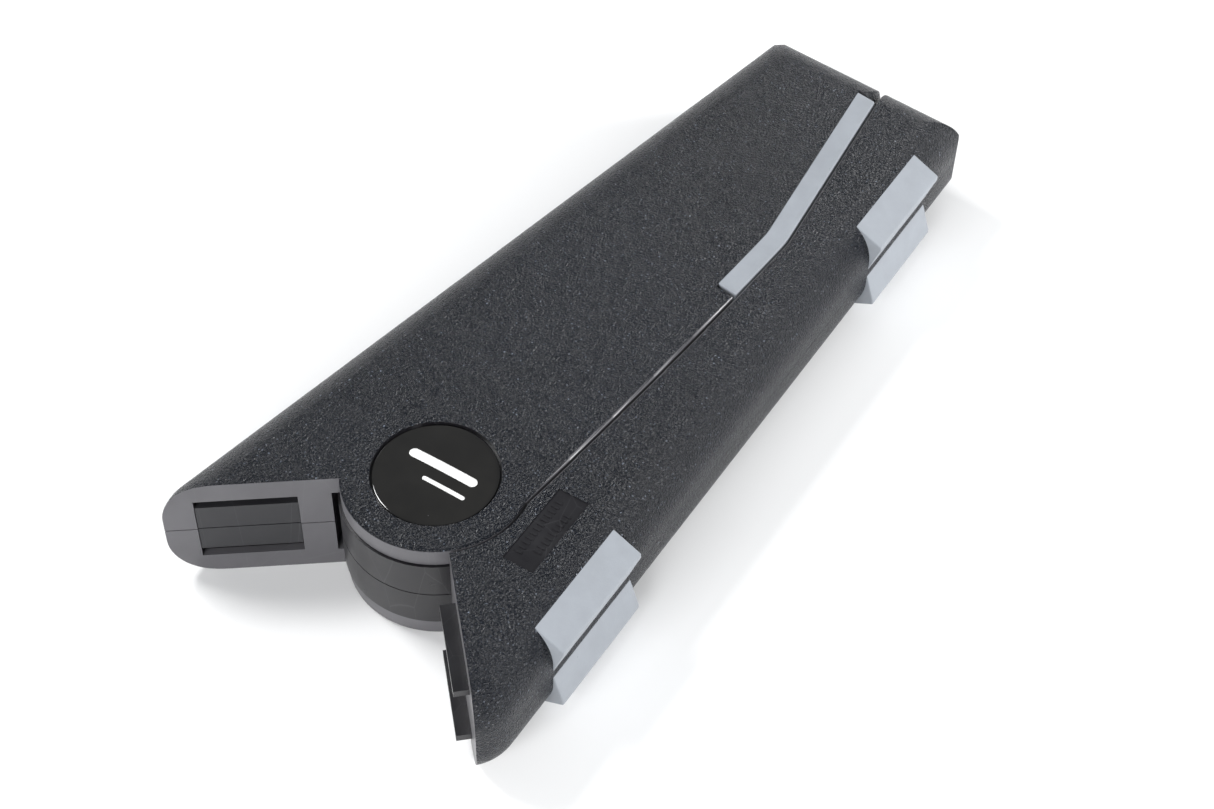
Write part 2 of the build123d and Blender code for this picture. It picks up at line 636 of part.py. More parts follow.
with BuildPart() as base_form:
    with BuildSketch(Plane.XY.offset(Z0)):
        add(plan_base())
    extrude(amount=T - Z0)
    fillet([e for e in base_form.edges() if on_inner_edge(e, ARM_GAP)], 0.7)
    add(outer_waste(0.0, B_HEEL, ROUND_B, -75), mode=Mode.SUBTRACT)
    with BuildSketch(PLANE_FAR):
        add(round_profile(_fd, ROUND_FAR, 0, T))
    extrude(amount=BIG, both=True, mode=Mode.INTERSECT)
    # recess that the upright boss turns in
    with BuildSketch(Plane.XY.offset(Z_BOSS_B)):
        Circle(RECESS_R)
    extrude(amount=T, mode=Mode.SUBTRACT)
    # boss, inner layer
    with BuildSketch(Plane.XY.offset(Z0)):
        Circle(BOSS_B_R)
    extrude(amount=Z_BOSS_B - Z0)

with BuildSketch() as base_in_sk:
    add(plan_base())
    Circle(BOSS_B_R)
    offset(amount=-WALL, kind=Kind.INTERSECTION)

with BuildPart() as base_hollow:
    with BuildSketch(Plane.XY.offset(Z0 - 1)):
        add(base_in_sk.sketch)
    extrude(amount=T - WALL - Z0 + 1)
    add(outer_waste(0.0, B_HEEL, ROUND_B, -75, WALL), mode=Mode.SUBTRACT)
    with BuildSketch(PLANE_FAR):
        add(round_profile(_fd, ROUND_FAR, WALL, T))
    extrude(amount=BIG, both=True, mode=Mode.INTERSECT)
    with BuildSketch(Plane.XY.offset(Z_BOSS_B - WALL)):
        Circle(RECESS_R + WALL)
    extrude(amount=T, mode=Mode.SUBTRACT)
    # pivot post
    with BuildSketch(Plane.XY.offset(Z0 - 2)):
        Circle(9.0)
    extrude(amount=T, mode=Mode.SUBTRACT)
    # backing of the rest pad
    with BuildSketch(Plane.XY.offset(PAD_Z[0] - 2)):
        with BuildLine():
            Polyline((30, PAD_Y[0] - 2), (40.6, PAD_Y[0] - 2), (45.2, PAD_Y[1] + 2), (30, PAD_Y[1] + 2), close=True)
        make_face()
    extrude(amount=T, mode=Mode.SUBTRACT)
    # screw posts
    with BuildSketch(Plane.XY.offset(COVER_TOP)):
        with Locations(*SCREWS_B):
            Circle(SCREW_POST_R)
    extrude(amount=T, mode=Mode.SUBTRACT)
    # stiffening ribs, held clear of the cover
    with BuildSketch(Plane.XY.offset(COVER_TOP + 0.4)):
        with Locations((50, -12), (50, 50), (50, 96), (50, 146), (50, 196)):
            Rectangle(40, 1.6)
        with Locations(*[Location((18 * math.cos(math.radians(a)), 18 * math.sin(math.radians(a))), a) for a in (100, 200, 320, 25)]):
            Rectangle(26, 1.6)
    extrude(amount=T, mode=Mode.SUBTRACT)

with BuildPart() as base_shell_upper:
    add(base_form.part)
    add(base_hollow.part, mode=Mode.SUBTRACT)
    # tab that locks into the slot of the upright
    with BuildSketch(Plane.XY.offset(TAB_Z0)):
        with BuildLine():
            Polyline(
                polar(TAB_R0, A_END_B, 1.0),
                polar(TAB_R0, A_END_B, -TAB_OUT),
                polar(TAB_R1, A_END_B, -TAB_OUT),
                polar(TAB_R1, A_END_B, 1.0),
                close=True,
            )
        make_face()
    extrude(amount=TAB_Z1 - TAB_Z0)
    # seats of the feet and the rest pad
    add(front_foot_upper.part, mode=Mode.SUBTRACT)
    add(rear_foot_upper.part, mode=Mode.SUBTRACT)
    add(base_rest_pad_upper.part, mode=Mode.SUBTRACT)
    # stepped bore and nut pocket of the pivot bolt, and the glide washer's seat
    with BuildSketch(Plane.XY.offset(29.0)):
        Circle(SHOULDER_R)
    extrude(amount=20, mode=Mode.SUBTRACT)
    with BuildSketch(Plane.XY.offset(Z0 - 1)):
        Circle(THREAD_R)
    extrude(amount=20, mode=Mode.SUBTRACT)
    with BuildSketch(Plane.XY.offset(Z0 - 1)):
        RegularPolygon(NUT_AF / 2, 6, major_radius=False)
    extrude(amount=NUT_Z1 - Z0 + 1, mode=Mode.SUBTRACT)
    with BuildSketch(Plane.XY.offset(Z_BOSS_B - 0.7)):
        Circle(14.0)
    extrude(amount=5, mode=Mode.SUBTRACT)
    # seam relieved beyond the hinge axis
    with BuildSketch(far_axis(-60)):
        with BuildLine():
            Polyline((0, -1), (0, 0), (12, 12 * math.tan(math.radians(RELIEF_A))), (12, -1), close=True)
        make_face()
    extrude(amount=140, mode=Mode.SUBTRACT)
    # pilot holes for the cover screws
    with BuildSketch(Plane.XY.offset(Z0)):
        with Locations(*SCREWS_B):
            Circle(SCREW_R)
    extrude(amount=SCREW_L, mode=Mode.SUBTRACT)
    # shallow marking panel with plain ticks
    with BuildSketch(Plane.XY.offset(T - LABEL_D)):
        with Locations(((LABEL[0] + LABEL[1]) / 2, (LABEL[2] + LABEL[3]) / 2)):
            Rectangle(LABEL[1] - LABEL[0], LABEL[3] - LABEL[2])
    extrude(amount=5, mode=Mode.SUBTRACT)
    with BuildSketch(Plane.XY.offset(T - LABEL_D - 0.1)):
        with Locations((37.9, (LABEL[2] + LABEL[3]) / 2)):
            with GridLocations(1, 2.0, 1, 12):
                Rectangle(2.4, 0.8)
        with Locations((42.9, (LABEL[2] + LABEL[3]) / 2)):
            with GridLocations(1, 2.0, 1, 9):
                Rectangle(2.4, 0.8)
    extrude(amount=0.35)

print("base shell", base_shell_upper.part.volume, len(base_shell_upper.solids()))

with BuildPart() as base_cover_upper:
    with BuildSketch(Plane.XY.offset(Z0)):
        add(plan_base())
        Circle(BOSS_B_R)
        offset(amount=-WALL - COVER_FIT, kind=Kind.INTERSECTION)
        Circle(9.15, mode=Mode.SUBTRACT)
    extrude(amount=COVER_T)
    with BuildSketch(far_axis(-60)):
        with BuildLine():
            Polyline((0, -1), (0, 0), (12, 12 * math.tan(math.radians(RELIEF_A))), (12, -1), close=True)
        make_face()
    extrude(amount=140, mode=Mode.SUBTRACT)
    with Locations(*[Location((x, y, Z0), (180, 0, 0)) for x, y in SCREWS_B]):
        CounterSinkHole(SCREW_R, SCREW_HEAD_R, depth=COVER_T + 1, counter_sink_angle=90)

# ================================================================ pivot hardware
with BuildPart() as pivot_bolt_upper:
    with BuildSketch(Plane.XZ):
        with BuildLine():
            Polyline(
                (0, 22.6),
                (THREAD_R - 0.5, 22.6),
                (THREAD_R, 23.1),
                (THREAD_R, 29.0),
                (SHOULDER_R, 29.0),
                (SHOULDER_R, 40.0),
                (7.5, 40.0),
                (7.5, 40.9),
                (6.9, 41.35),
                (0, 41.35),
                close=True,
            )
        make_face()
    revolve(axis=Axis.Z)
    with BuildSketch(Plane.XY.offset(39.9)):
        RegularPolygon(2.5, 6, major_radius=False)
    extrude(amount=5, mode=Mode.SUBTRACT)

with BuildPart() as pivot_nut_upper:
    with BuildSketch(Plane.XY.offset(NUT_Z0)):
        RegularPolygon(NUT_AF / 2, 6, major_radius=False)
        Circle(THREAD_R, mode=Mode.SUBTRACT)
    extrude(amount=NUT_Z1 - NUT_Z0)

with BuildPart() as pivot_disc_spring_upper:
    with BuildSketch(Plane.XZ):
        with BuildLine():
            Polyline((4.25, 39.5), (9.3, 39.05), (9.3, 39.5), (4.25, 39.95), close=True)
        make_face()
    revolve(axis=Axis.Z)

with BuildPart() as pivot_washer_upper:
    with BuildSketch(Plane.XY.offset(HEAD_SEAT_Z)):
        Circle(10.0)
        Circle(4.25, mode=Mode.SUBTRACT)
    extrude(amount=1.0)

with BuildPart() as pivot_glide_washer_upper:
    with BuildSketch(Plane.XY.offset(Z_BOSS_B - 0.7)):
        Circle(13.95)
        Circle(4.3, mode=Mode.SUBTRACT)
    extrude(amount=0.95)

# badge: flat disc with a low clear dome, its crown just below the face
BADGE_CROWN_Z = 42.92
BADGE_RIM_Z = 42.3
_h = BADGE_CROWN_Z - BADGE_RIM_Z
dome_r = (BADGE_R**2 + _h**2) / (2 * _h)
with BuildPart() as hub_badge_upper:
    with BuildSketch(Plane.XY.offset(BADGE_SEAT_Z)):
        Circle(BADGE_R)
    extrude(amount=2.0)
    with Locations((0, 0, BADGE_CROWN_Z - dome_r)):
        Sphere(dome_r, mode=Mode.INTERSECT)
    rims = [e for e in hub_badge_upper.edges().filter_by(GeomType.CIRCLE) if abs(e.radius - BADGE_R) < 0.01]
    fillet(ShapeList(rims).sort_by(Axis.Z)[-1], 0.4)

# ================================================================ frame hinge


def hinge_leaf(knuckles, z_gap):
    """Steel leaf in the pocket, with the given knuckles as (start, end) along the axis."""
    z_low = KNUCKLE_R + z_gap
    with BuildPart() as leaf:
        with BuildSketch(far_plane(POCKET_E, H)):
            with Locations((0, (LEAF_Z - H + z_low) / 2)):
                Rectangle(LEAF_W, LEAF_Z - H - z_low)
            fillet(leaf_corners(), 1.6)
        extrude(amount=LEAF_T)
        for u0, u1 in knuckles:
            with BuildSketch(far_axis(u0)):
                Circle(KNUCKLE_R)
                with Locations((-(POCKET_E - HINGE_E) + LEAF_T / 2, (z_low + 0.6 + 0.3) / 2)):
                    Rectangle(LEAF_T, z_low + 0.6 - 0.3)
                Circle(PIN_R + PIN_FIT, mode=Mode.SUBTRACT)
            extrude(amount=u1 - u0)
        for x, z in SCREWS_H:
            with BuildSketch(far_plane(POCKET_E + 1, H)):
                with Locations((x, z)):
                    Circle(1.1)
            extrude(amount=4, mode=Mode.SUBTRACT)
            with BuildSketch(far_plane(POCKET_E - LEAF_T, H)):
                with Locations((x, z)):
                    Circle(2.2)
            extrude(amount=-1.1, taper=45, mode=Mode.SUBTRACT)
    return leaf.part


def leaf_corners():
    """The two upper corners of the leaf sketch being drawn."""
    return BuildSketch._get_context().vertices().group_by(Axis.Z)[-1]


with BuildPart() as hinge_leaf_upper:
    add(hinge_leaf([(-KNUCKLE_W / 2, KNUCKLE_W / 2)], 0.55))

with BuildPart() as hinge_leaf_lower:
    mirror(hinge_leaf([(-LEAF_W / 2, -KNUCKLE_W / 2 - 0.3), (KNUCKLE_W / 2 + 0.3, LEAF_W / 2)], 0.55), about=Plane.XY.offset(H))

with BuildPart() as hinge_pin:
    with BuildSketch(far_axis(-8.35)):
        Circle(PIN_R)
    extrude(amount=16.7)
    chamfer(hinge_pin.edges(), 0.3)

with BuildPart() as hinge_screws_upper:
    for x, z in SCREWS_H:
        with BuildSketch(far_plane(POCKET_E - LEAF_T, H)):
            with Locations((x, z)):
                Circle(2.15)
        extrude(amount=-1.05, taper=45)
        with BuildSketch(far_plane(POCKET_E + 6.4, H)):
            with Locations((x, z)):
                Circle(1.1)
        extrude(amount=6.6)
        with BuildSketch(far_plane(POCKET_E - LEAF_T, H)):
            with Locations((x, z)):
                Rectangle(2.6, 0.55)
        extrude(amount=-0.6, mode=Mode.SUBTRACT)

# ================================================================ lower frame, mirrored
MID = Plane.XY.offset(H)

with BuildPart() as upright_shell_lower:
    mirror(upright_shell_upper.part, about=MID)
with BuildPart() as upright_cover_lower:
    mirror(upright_cover_upper.part, about=MID)
with BuildPart() as upright_cover_screws_lower:
    mirror(upright_cover_screws_upper.part, about=MID)
with BuildPart() as lean_strip_lower:
    mirror(lean_strip_upper.part, about=MID)
with BuildPart() as hub_badge_lower:
    mirror(hub_badge_upper.part, about=MID)
with BuildPart() as pivot_washer_lower:
    mirror(pivot_washer_upper.part, about=MID)
with BuildPart() as hinge_screws_lower:
    mirror(hinge_screws_upper.part, about=MID)
with BuildPart() as base_shell_lower:
    mirror(base_shell_upper.part, about=MID)
with BuildPart() as base_cover_lower:
    mirror(base_cover_upper.part, about=MID)
with BuildPart() as base_cover_screws_lower:
    mirror(base_cover_screws_upper.part, about=MID)
with BuildPart() as base_rest_pad_lower:
    mirror(base_rest_pad_upper.part, about=MID)
with BuildPart() as front_foot_lower:
    mirror(front_foot_upper.part, about=MID)
with BuildPart() as rear_foot_lower:
    mirror(rear_foot_upper.part, about=MID)
with BuildPart() as pivot_bolt_lower:
    mirror(pivot_bolt_upper.part, about=MID)
with BuildPart() as pivot_nut_lower:
    mirror(pivot_nut_upper.part, about=MID)
with BuildPart() as pivot_disc_spring_lower:
    mirror(pivot_disc_spring_upper.part, about=MID)
with BuildPart() as pivot_glide_washer_lower:
    mirror(pivot_glide_washer_upper.part, about=MID)

# ================================================================ export
pieces = {
    "upright_shell_upper": upright_shell_upper,
    "upright_cover_upper": upright_cover_upper,
    "upright_cover_screws_upper": upright_cover_screws_upper,
    "lean_strip_upper": lean_strip_upper,
    "hub_badge_upper": hub_badge_upper,
    "pivot_washer_upper": pivot_washer_upper,
    "hinge_leaf_upper": hinge_leaf_upper,
    "hinge_screws_upper": hinge_screws_upper,
    "base_shell_upper": base_shell_upper,
    "base_cover_upper": base_cover_upper,
    "base_cover_screws_upper": base_cover_screws_upper,
    "base_rest_pad_upper": base_rest_pad_upper,
    "front_foot_upper": front_foot_upper,
    "rear_foot_upper": rear_foot_upper,
    "pivot_bolt_upper": pivot_bolt_upper,
    "pivot_nut_upper": pivot_nut_upper,
    "pivot_disc_spring_upper": pivot_disc_spring_upper,
    "pivot_glide_washer_upper": pivot_glide_washer_upper,
    "upright_shell_lower": upright_shell_lower,
    "upright_cover_lower": upright_cover_lower,
    "upright_cover_screws_lower": upright_cover_screws_lower,
    "lean_strip_lower": lean_strip_lower,
    "hub_badge_lower": hub_badge_lower,
    "pivot_washer_lower": pivot_washer_lower,
    "hinge_leaf_lower": hinge_leaf_lower,
    "hinge_screws_lower": hinge_screws_lower,
    "base_shell_lower": base_shell_lower,
    "base_cover_lower": base_cover_lower,
    "base_cover_screws_lower": base_cover_screws_lower,
    "base_rest_pad_lower": base_rest_pad_lower,
    "front_foot_lower": front_foot_lower,
    "rear_foot_lower": rear_foot_lower,
    "pivot_bolt_lower": pivot_bolt_lower,
    "pivot_nut_lower": pivot_nut_lower,
    "pivot_disc_spring_lower": pivot_disc_spring_lower,
    "pivot_glide_washer_lower": pivot_glide_washer_lower,
    "hinge_pin": hinge_pin,
}

for name, piece in pieces.items():
    piece.part.label = name
    export_step(piece.part, f"parts/{name}.step")
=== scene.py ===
import math
import random

import bmesh
import bpy
from mathutils import Matrix, Vector, noise


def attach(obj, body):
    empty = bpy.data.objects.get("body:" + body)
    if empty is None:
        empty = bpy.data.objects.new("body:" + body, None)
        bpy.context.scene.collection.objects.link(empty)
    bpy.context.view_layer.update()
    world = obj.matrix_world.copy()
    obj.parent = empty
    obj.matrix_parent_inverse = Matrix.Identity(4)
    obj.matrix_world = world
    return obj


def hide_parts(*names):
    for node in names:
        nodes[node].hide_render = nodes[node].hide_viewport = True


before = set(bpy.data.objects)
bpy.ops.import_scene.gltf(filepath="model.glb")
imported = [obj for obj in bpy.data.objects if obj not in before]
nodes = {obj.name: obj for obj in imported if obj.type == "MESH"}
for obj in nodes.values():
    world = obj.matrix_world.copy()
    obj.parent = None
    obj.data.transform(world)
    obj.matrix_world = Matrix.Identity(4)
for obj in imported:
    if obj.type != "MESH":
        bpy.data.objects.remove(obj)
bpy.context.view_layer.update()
MM = 0.001
SIDES = ("upper", "lower")

# ------------------------------------------------------------------ design numbers, millimetres
T = 43.0
H = T / 2
Z0 = H + 0.2
A_END_U, A_END_B = 217.5, -47.5
A_OUT_U, OUT_U, ROUND_U = 79.92, 60.1, (14.5, 16.5)
OUT_B, ROUND_B = 63.0, (13.5, 16.5)
A_FAR, FAR_P, ROUND_FAR = -4.7, (2.4, 243.0), (17.0, 19.0)
ARM_GAP = 0.85
EDGE = [(29.2, 6.0), (35.85, 74.5), (40.95, 146.0)]
A_EDGE_FAR = 95.8
BEND_R = 40.0


def rad(a):
    return math.radians(a)


def unit(a):
    return Vector((math.cos(rad(a)), math.sin(rad(a)), 0))


# ------------------------------------------------------------------ camera
cam_data = bpy.data.cameras.new("camera")
cam = bpy.data.objects.new("camera", cam_data)
bpy.context.scene.collection.objects.link(cam)
cam_data.sensor_width = 36.0
cam_data.lens = 66.62
cam_data.clip_start = 0.01
cam_data.clip_end = 50
rv = Vector((2.35326, 0.69445, -0.23244))
world_to_cam = Matrix.Rotation(rv.length, 3, rv.normalized())
look = (world_to_cam.transposed() @ Matrix.Diagonal((1, -1, -1))).to_4x4()
cam.matrix_world = Matrix.Translation((0.26813, -0.33876, 0.58489)) @ look
bpy.context.scene.camera = cam


# ------------------------------------------------------------------ node helpers
class Mat:
    """A small helper for building a node material."""

    def __init__(self, name):
        self.m = bpy.data.materials.new(name)
        self.m.use_nodes = True
        self.t = self.m.node_tree
        self.t.nodes.clear()
        self.out = self.t.nodes.new("ShaderNodeOutputMaterial")
        self.b = self.t.nodes.new("ShaderNodeBsdfPrincipled")
        self.t.links.new(self.b.outputs[0], self.out.inputs[0])
        self.co = self.t.nodes.new("ShaderNodeTexCoord").outputs["Object"]

    def set(self, **kw):
        for k, v in kw.items():
            self.b.inputs[k.replace("_", " ")].default_value = v
        return self

    def link(self, a, b):
        self.t.links.new(a, b)

    def node(self, kind, **props):
        n = self.t.nodes.new(kind)
        for k, v in props.items():
            setattr(n, k, v)
        return n

    def scaled(self, s, vec=None):
        n = self.node("ShaderNodeVectorMath", operation="MULTIPLY")
        self.link(vec or self.co, n.inputs[0])
        n.inputs[1].default_value = s if hasattr(s, "__len__") else (s, s, s)
        return n.outputs[0]

    def noise(self, scale, detail=2.0, rough=0.5, vec=None, dist=0.0):
        n = self.node("ShaderNodeTexNoise")
        n.inputs["Scale"].default_value = scale
        n.inputs["Detail"].default_value = detail
        n.inputs["Roughness"].default_value = rough
        n.inputs["Distortion"].default_value = dist
        self.link(vec or self.co, n.inputs["Vector"])
        return n

    def voronoi(self, scale, feature="F1", smooth=None, vec=None, rnd=1.0):
        n = self.node("ShaderNodeTexVoronoi", feature=feature)
        n.inputs["Scale"].default_value = scale
        n.inputs["Randomness"].default_value = rnd
        if smooth is not None:
            n.inputs["Smoothness"].default_value = smooth
        self.link(vec or self.co, n.inputs["Vector"])
        return n

    def math(self, op, a, b=None, c=None, clamp=False):
        n = self.node("ShaderNodeMath", operation=op, use_clamp=clamp)
        for i, v in enumerate((a, b, c)):
            if v is None:
                continue
            if isinstance(v, (int, float)):
                n.inputs[i].default_value = v
            else:
                self.link(v, n.inputs[i])
        return n.outputs[0]

    def ramp(self, fac, stops):
        n = self.node("ShaderNodeValToRGB")
        self.link(fac, n.inputs[0])
        e = n.color_ramp.elements
        while len(e) < len(stops):
            e.new(0.5)
        for s, (p, c) in zip(e, stops):
            s.position = p
            s.color = (c, c, c, 1) if isinstance(c, (int, float)) else (*c, 1)
        return n.outputs[0]

    def map(self, v, a, b, c, d):
        n = self.node("ShaderNodeMapRange")
        self.link(v, n.inputs["Value"])
        for k, x in zip(("From Min", "From Max", "To Min", "To Max"), (a, b, c, d)):
            n.inputs[k].default_value = x
        return n.outputs[0]

    def mix(self, fac, a, b, mode="MIX"):
        n = self.node("ShaderNodeMix", data_type="RGBA", blend_type=mode)
        for sock, v in ((n.inputs["Factor"], fac), (n.inputs[6], a), (n.inputs[7], b)):
            if isinstance(v, (int, float)):
                sock.default_value = v
            elif isinstance(v, tuple):
                sock.default_value = (*v, 1) if len(v) == 3 else v
            else:
                self.link(v, sock)
        return n.outputs[2]

    def bump(self, height, distance, strength=1.0, normal=None):
        n = self.node("ShaderNodeBump")
        n.inputs["Strength"].default_value = strength
        n.inputs["Distance"].default_value = distance
        self.link(height, n.inputs["Height"])
        if normal is not None:
            self.link(normal, n.inputs["Normal"])
        return n.outputs[0]


def grain_plastic(name, base=(0.0040, 0.0055, 0.0098), rough=0.29, depth=0.00060):
    """Charcoal ABS with a leather-like moulded grain: cells about a millimetre across, with fine wrinkles."""
    m = Mat(name)
    warp = m.noise(420, 2.0, 0.55)
    v = m.node("ShaderNodeVectorMath", operation="SUBTRACT")
    m.link(warp.outputs["Color"], v.inputs[0])
    v.inputs[1].default_value = (0.5, 0.5, 0.5)
    w = m.node("ShaderNodeVectorMath", operation="MULTIPLY_ADD")
    m.link(v.outputs[0], w.inputs[0])
    w.inputs[1].default_value = (0.0012, 0.0012, 0.0012)
    m.link(m.co, w.inputs[2])
    cells = m.voronoi(900, "DISTANCE_TO_EDGE", vec=w.outputs[0])
    pebble = m.map(cells.outputs["Distance"], 0.0, 0.30, 0.0, 1.0)
    pebble = m.math("POWER", pebble, 0.6)
    fine = m.noise(2600, 3.0, 0.6)
    wrinkle = m.noise(640, 3.0, 0.6, dist=1.2)
    h = m.math("MULTIPLY_ADD", fine.outputs["Fac"], 0.30, pebble)
    h = m.math("MULTIPLY_ADD", wrinkle.outputs["Fac"], 1.0, h)
    m.link(m.bump(h, depth, 0.9), m.b.inputs["Normal"])
    cloud = m.noise(14, 3.0, 0.55)
    # painted shade: the base colour is darkened towards the cell edges, in the valleys of the grain
    groove_shade = m.map(pebble, 0.0, 0.55, 0.45, 1.0)
    tint = m.mix(m.map(cloud.outputs["Fac"], 0.35, 0.65, 0.0, 1.0), base, tuple(c * k for c, k in zip(base, (1.12, 1.16, 1.24))))
    # painted glints: pale sparkle painted into the base colour on the tops of some grains
    spark = m.voronoi(780, "F1", vec=w.outputs[0])
    spot = m.ramp(spark.outputs["Distance"], [(0.0, 1.0), (0.14, 1.0), (0.25, 0.0)])
    sep = m.node("ShaderNodeSeparateColor")
    m.link(spark.outputs["Color"], sep.inputs[0])
    pick = m.ramp(sep.outputs[0], [(0.56, 0.0), (0.86, 1.0)])
    zone = m.ramp(m.noise(120, 2.0, 0.6).outputs["Fac"], [(0.38, 0.25), (0.62, 1.0)])
    speck = m.math("MULTIPLY", m.math("MULTIPLY", spot, pick), zone)
    # painted shade in the grain's valleys multiplied into the base colour
    col = m.mix(1.0, tint, groove_shade, "MULTIPLY")
    # the painted glints are mixed into the base colour as pale bluish specks
    col = m.mix(m.math("MULTIPLY", speck, 0.66), col, (0.29, 0.33, 0.40))
    m.link(col, m.b.inputs["Base Color"])
    r = m.map(fine.outputs["Fac"], 0.3, 0.7, rough - 0.07, rough + 0.09)
    r = m.math("MULTIPLY_ADD", m.map(cloud.outputs["Fac"], 0.3, 0.7, -0.5, 0.5), 0.05, r)
    m.link(r, m.b.inputs["Roughness"])
    m.set(Specular_IOR_Level=0.36, IOR=1.5)
    return m.m


def smooth_plastic(name, base=(0.100, 0.098, 0.106), rough=0.34, streak=0.4):
    """Plain moulded face: satin, with faint draw lines along the mould's direction and slight cloudiness."""
    m = Mat(name)
    lines = m.noise(1.0, 3.0, 0.6, vec=m.scaled((900, 900, 60)))
    cloud = m.noise(60, 3.0, 0.6)
    fine = m.noise(5200, 2.0, 0.5)
    h = m.math("MULTIPLY_ADD", lines.outputs["Fac"], streak, fine.outputs["Fac"])
    m.link(m.bump(h, 0.000012, 0.5), m.b.inputs["Normal"])
    k = m.map(cloud.outputs["Fac"], 0.3, 0.7, 0.90, 1.10)
    n = m.mix(1.0, base, k, "MULTIPLY")
    scratch = m.voronoi(1.0, "DISTANCE_TO_EDGE", vec=m.scaled((70, 70, 16)))
    thin = m.ramp(scratch.outputs["Distance"], [(0.0, 1.0), (0.006, 0.0)])
    n = m.mix(m.math("MULTIPLY", thin, 0.10), n, (0.22, 0.22, 0.23))
    m.link(n, m.b.inputs["Base Color"])
    r = m.map(cloud.outputs["Fac"], 0.3, 0.7, rough - 0.05, rough + 0.07)
    m.link(r, m.b.inputs["Roughness"])
    return m.m


def rubber(name, base=(0.275, 0.295, 0.324), rough=0.62):
    """Matt grey rubber with a soft bloom, faint cloudiness and a few dark specks of dirt."""
    m = Mat(name)
    cloud = m.noise(110, 4.0, 0.6)
    fine = m.noise(2400, 3.0, 0.6)
    pores = m.voronoi(1500, "F1")
    h = m.math("MULTIPLY_ADD", pores.outputs["Distance"], 0.4, fine.outputs["Fac"])
    h = m.math("MULTIPLY_ADD", m.noise(260, 2.0, 0.5).outputs["Fac"], 1.2, h)
    m.link(m.bump(h, 0.00005, 0.55), m.b.inputs["Normal"])
    k = m.map(cloud.outputs["Fac"], 0.3, 0.7, 0.93, 1.05)
    c = m.mix(1.0, base, k, "MULTIPLY")
    dirt = m.voronoi(210, "F1")
    spot = m.ramp(dirt.outputs["Distance"], [(0.0, 1.0), (0.045, 0.7), (0.085, 0.0)])
    pick = m.ramp(m.noise(38, 2.0, 0.6).outputs["Fac"], [(0.54, 0.0), (0.66, 1.0)])
    c = m.mix(m.math("MULTIPLY", m.math("MULTIPLY", spot, pick), 0.45), c, (0.10, 0.10, 0.11))
    smear = m.ramp(m.noise(46, 5.0, 0.7, dist=0.6).outputs["Fac"], [(0.50, 0.0), (0.78, 1.0)])
    c = m.mix(m.math("MULTIPLY", smear, 0.16), c, (0.22, 0.225, 0.235))
    m.link(c, m.b.inputs["Base Color"])
    m.link(m.map(cloud.outputs["Fac"], 0.3, 0.7, rough - 0.05, rough + 0.08), m.b.inputs["Roughness"])
    m.set(Specular_IOR_Level=0.35, Sheen_Weight=0.12, Sheen_Roughness=0.5)
    return m.m


def metal(name, base=(0.60, 0.60, 0.62), rough=0.32, brushed=(300, 300, 4000)):
    """Zinc-plated or spring steel: fine directional marks and a little blotching."""
    m = Mat(name)
    marks = m.noise(1.0, 3.0, 0.65, vec=m.scaled(brushed))
    blot = m.noise(420, 3.0, 0.6)
    m.link(m.bump(marks.outputs["Fac"], 0.00001, 0.5), m.b.inputs["Normal"])
    k = m.map(blot.outputs["Fac"], 0.3, 0.7, 0.86, 1.08)
    m.link(m.mix(1.0, base, k, "MULTIPLY"), m.b.inputs["Base Color"])
    m.link(m.map(marks.outputs["Fac"], 0.3, 0.7, rough - 0.08, rough + 0.12), m.b.inputs["Roughness"])
    m.set(Metallic=1.0)
    return m.m


def acetal(name):
    m = Mat(name)
    cloud = m.noise(240, 3.0, 0.6)
    m.link(m.mix(1.0, (0.76, 0.75, 0.71), m.map(cloud.outputs["Fac"], 0.3, 0.7, 0.94, 1.04), "MULTIPLY"), m.b.inputs["Base Color"])
    m.link(m.bump(m.noise(3000, 2.0, 0.5).outputs["Fac"], 0.00001, 0.4), m.b.inputs["Normal"])
    m.link(m.map(cloud.outputs["Fac"], 0.3, 0.7, 0.36, 0.48), m.b.inputs["Roughness"])
    m.set(Subsurface_Weight=0.1)
    return m.m


def badge_gloss(name):
    """Black print under a clear domed resin: deep gloss, slight orange peel and a few dust motes."""
    m = Mat(name)
    peel = m.noise(170, 2.0, 0.5)
    m.link(m.bump(peel.outputs["Fac"], 0.00002, 0.25), m.b.inputs["Normal"])
    dust = m.voronoi(330, "F1")
    spot = m.ramp(dust.outputs["Distance"], [(0.0, 1.0), (0.05, 0.8), (0.085, 0.0)])
    pick = m.ramp(m.noise(110, 2.0, 0.6).outputs["Fac"], [(0.60, 0.0), (0.68, 1.0)])
    speck = m.math("MULTIPLY", spot, pick)
    haze = m.noise(55, 3.0, 0.6)
    base = m.mix(m.map(haze.outputs["Fac"], 0.3, 0.7, 0.0, 1.0), (0.0075, 0.0068, 0.006), (0.013, 0.012, 0.0105))
    m.link(m.mix(m.math("MULTIPLY", speck, 0.7), base, (0.35, 0.35, 0.36)), m.b.inputs["Base Color"])
    m.link(m.math("MULTIPLY_ADD", speck, 0.3, m.map(haze.outputs["Fac"], 0.3, 0.7, 0.04, 0.075)), m.b.inputs["Roughness"])
    m.set(Coat_Weight=1.0, Coat_Roughness=0.02, Coat_IOR=1.5)
    return m.m


def print_white(name):
    m = Mat(name)
    n = m.noise(900, 3.0, 0.6)
    m.link(m.mix(1.0, (0.80, 0.80, 0.79), m.map(n.outputs["Fac"], 0.3, 0.7, 0.93, 1.03), "MULTIPLY"), m.b.inputs["Base Color"])
    m.link(m.map(n.outputs["Fac"], 0.3, 0.7, 0.10, 0.18), m.b.inputs["Roughness"])
    m.set(Coat_Weight=1.0, Coat_Roughness=0.03)
    return m.m


